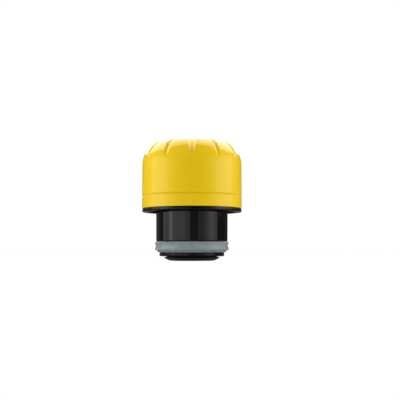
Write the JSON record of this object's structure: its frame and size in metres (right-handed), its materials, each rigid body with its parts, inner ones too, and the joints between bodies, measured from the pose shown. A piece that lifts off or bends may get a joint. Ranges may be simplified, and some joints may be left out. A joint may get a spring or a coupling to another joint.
{
  "type": "insulated bottle screw lid",
  "caption": "Screw-on insulated bottle lid: a domed, fluted metal cap over a threaded skirt, with a long plug, a double-lip seal ring, a retaining flange and a bevelled end cover.",
  "frame": {"origin": "centre of the end cover's flat bottom, the face that the lid stands on when it is off the bottle", "axes": "+Z along the lid's axis from the plug's end to the top of the dome; one flute lies over +X and one over -Y"},
  "size_m": [0.046, 0.046, 0.0562],
  "materials": {
    "powder_coated_steel": "satin",
    "liner_plastic": "satin",
    "plug_plastic": "gloss",
    "seal_silicone": "satin",
    "gasket_rubber": "matte",
    "insulation_foam": "matte",
    "screw_steel": "satin"
  },
  "bodies": {
    "root": {"cap_shell": "powder_coated_steel", "dome_foam": "insulation_foam", "thread_liner": "liner_plastic", "plug_gasket": "gasket_rubber", "plug_body": "plug_plastic", "plug_foam": "insulation_foam", "seal_ring": "seal_silicone", "end_cover": "plug_plastic", "cover_o_ring": "gasket_rubber", "plug_screw_1": "screw_steel", "plug_screw_2": "screw_steel", "plug_screw_3": "screw_steel", "screw_washer_1": "screw_steel", "screw_washer_2": "screw_steel", "screw_washer_3": "screw_steel"}
  },
  "joints": []
}
